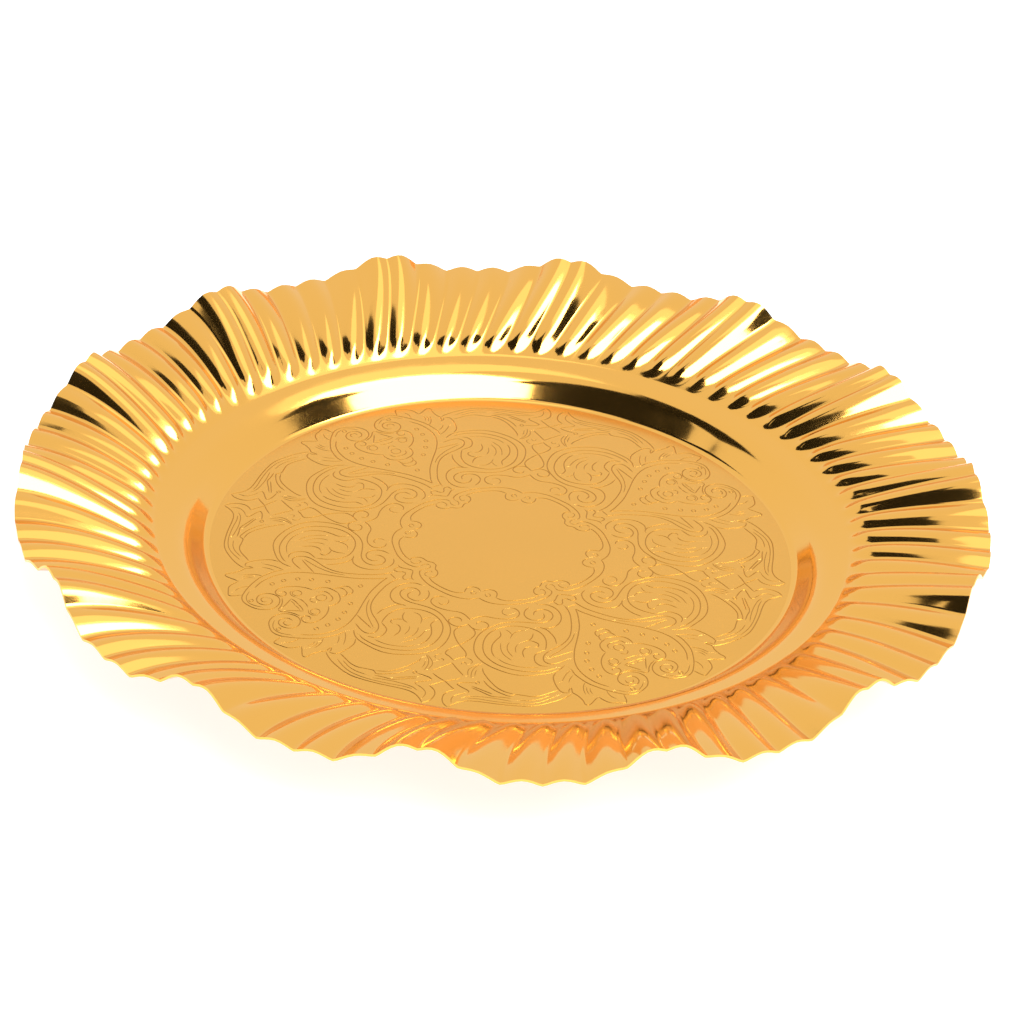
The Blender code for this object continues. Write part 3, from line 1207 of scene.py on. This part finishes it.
@dataclass(frozen=True)
class Flag:
    """A card beside the table, which the metal mirrors as a patch of its own colour.

    Attributes:
        name: Its name.
        azimuth: Direction it stands in, in degrees from the X axis towards the Y axis.
        elevation: Its height above the table, in degrees.
        distance: How far it stands from the tray.
        size: Width and height.
        colour: Its colour.
    """

    name: str
    azimuth: float
    elevation: float
    distance: float
    size: tuple[float, float]
    colour: str = "030302"

    def place(self) -> bpy.types.Object:
        """Add the card.

        Returns:
            The card.
        """
        card = blank_material(f"{self.name}_card")
        colour = linear(self.colour)
        matt = add_node(card, "ShaderNodeBsdfPrincipled", {"Base Color": colour, "Roughness": 1.0})
        add_node(card, "ShaderNodeOutputMaterial", links={"Surface": matt.outputs["BSDF"]})
        bpy.ops.object.select_all(action="DESELECT")
        bpy.ops.mesh.primitive_plane_add(size=1.0)
        flag = bpy.context.object
        flag.name = self.name
        flag.data.transform(Matrix.Diagonal((*self.size, 1.0, 1.0)))
        flag.data.transform(facing_tray(self.azimuth, self.elevation, self.distance))
        flag.data.materials.append(card)
        flag.visible_camera = False
        flag.visible_diffuse = False
        return flag


def facing_tray(azimuth: float, elevation: float, distance: float) -> Matrix:
    """Place and turn something so that it looks at the tray.

    Args:
        azimuth: Direction it stands in, in degrees from the X axis towards the Y axis.
        elevation: Height above the table, in degrees.
        distance: How far it stands from the tray.

    Returns:
        Its matrix, with -Z towards the tray.
    """
    turn, lift = radians(azimuth), radians(elevation)
    out = Vector((cos(turn) * cos(lift), sin(turn) * cos(lift), sin(lift)))
    return Matrix.Translation(out * distance) @ (-out).to_track_quat("-Z", "Y").to_matrix().to_4x4()


@dataclass
class Studio:
    """The table, the lamps, the cards, the pale surroundings and the camera.

    Attributes:
        surround: Brightness of the white surroundings.
        table_size: Side of the table top.
        sensor_width: Width of the camera's sensor in millimetres.
        lens: The camera's focal length in millimetres.
        aim: The point that the camera looks at.
        azimuth: Where the camera stands, in degrees from the X axis towards the Y axis.
        elevation: Its height above the table, in degrees.
        distance: How far it stands from the point it looks at.
        roll: How far it leans, in degrees.
    """

    surround: float = 1.0
    table_size: float = 60.0
    sensor_width: float = 36.0
    lens: float = 91.53
    aim: tuple[float, float, float] = (-0.0009, 0.0230, 0.0031)
    azimuth: float = -79.89
    elevation: float = 31.58
    distance: float = 0.9757
    roll: float = 3.75

    def lamps(self) -> list[Softbox]:
        """List the lamps, brightest first. The spill is the soft edge round the lamp on the right.

        Returns:
            The lamps.
        """
        return [
            Softbox("softbox_right", -25.0, 62.0, 1.6, (1.9, 1.15), 54.0),
            Softbox("softbox_right_spill", -25.0, 62.0, 1.62, (2.2, 1.42), 6.0),
            Softbox("softbox_back", 66.0, 66.0, 1.7, (1.1, 0.9), 1.8),
        ]

    def flags(self) -> list[Flag]:
        """List the black cards, and a low tan one behind the tray.

        Returns:
            The cards.
        """
        return [
            Flag("flag_left", -138.0, 62.0, 1.5, (1.15, 0.8)),
            Flag("flag_far_left", 170.0, 56.0, 1.5, (0.5, 0.8)),
            Flag("flag_right", 15.0, 48.0, 1.4, (0.5, 0.42)),
            Flag("flag_behind", 99.0, 6.5, 1.5, (1.9, 0.27), "CFA069"),
        ]

    def build(self) -> None:
        """Set up the table, the lamps, the cards, the surroundings and the camera."""
        bpy.ops.object.select_all(action="DESELECT")
        bpy.ops.mesh.primitive_plane_add(size=self.table_size, location=(0, 0, 0))
        table = bpy.context.object
        table.name = "table"
        table.data.materials.append(PaleTable().make())
        for lamp in self.lamps():
            lamp.place()
        for flag in self.flags():
            flag.place()
        world = bpy.data.worlds.new("white_surround")
        world.use_nodes = True
        world.node_tree.nodes["Background"].inputs["Color"].default_value = linear("FFFFFF")
        world.node_tree.nodes["Background"].inputs["Strength"].default_value = self.surround
        bpy.context.scene.world = world
        bpy.context.scene.view_settings.view_transform = "Standard"
        self.camera()

    def camera(self) -> bpy.types.Object:
        """Add the camera.

        Returns:
            The camera.
        """
        data = bpy.data.cameras.new("camera")
        data.lens = self.lens
        data.sensor_width = self.sensor_width
        camera = bpy.data.objects.new("camera", data)
        bpy.context.scene.collection.objects.link(camera)
        placed = facing_tray(self.azimuth, self.elevation, self.distance)
        lean = Matrix.Rotation(radians(self.roll), 4, "Z")
        camera.matrix_world = Matrix.Translation(self.aim) @ placed @ lean
        bpy.context.scene.camera = camera
        return camera


def main() -> None:
    """Build the tray and its studio, and note the sizes."""
    logging.basicConfig(level=logging.INFO, format="%(name)s: %(message)s")
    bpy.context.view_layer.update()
    PressedSheet(PressedShape()).build()
    FootPads(PAD_RUBBER).dress()
    Studio().build()
    bpy.context.view_layer.update()


if __name__ == "__main__":
    main()
